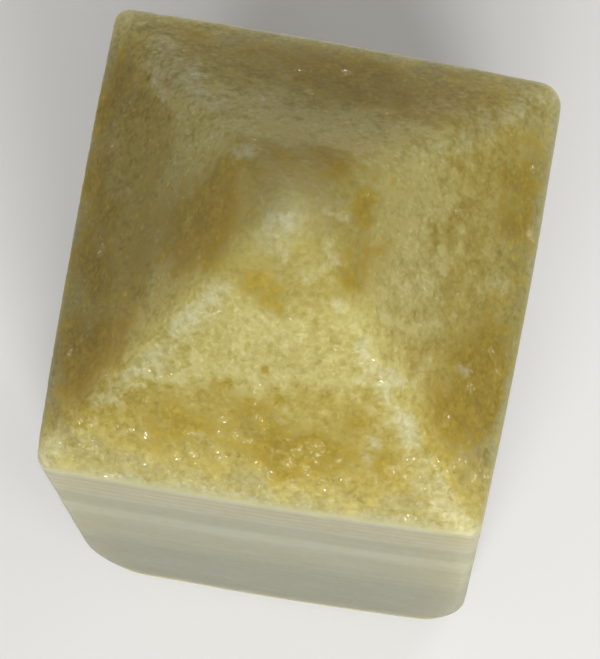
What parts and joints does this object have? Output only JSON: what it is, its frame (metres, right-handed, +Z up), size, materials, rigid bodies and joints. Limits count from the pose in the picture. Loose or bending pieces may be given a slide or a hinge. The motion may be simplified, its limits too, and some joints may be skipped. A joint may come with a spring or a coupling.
{
  "type": "calcite tower",
  "caption": "Polished stone tower of banded honey calcite: an upright square column with rounded corners, ground to a low pyramid point, standing on a flat base.",
  "frame": {"origin": "centre of the flat base, at the height of the surface it stands on", "axes": "+Z up the tower towards its point, the front wall faces -Y, +X to the right when facing the front wall"},
  "size_m": [0.0379, 0.0383, 0.0998],
  "materials": {
    "calcite": "polished, waxy and slightly translucent, in level honey and cream bands, frosted along the ridges"
  },
  "bodies": {
    "root": {"calcite_tower": "calcite"}
  },
  "joints": []
}
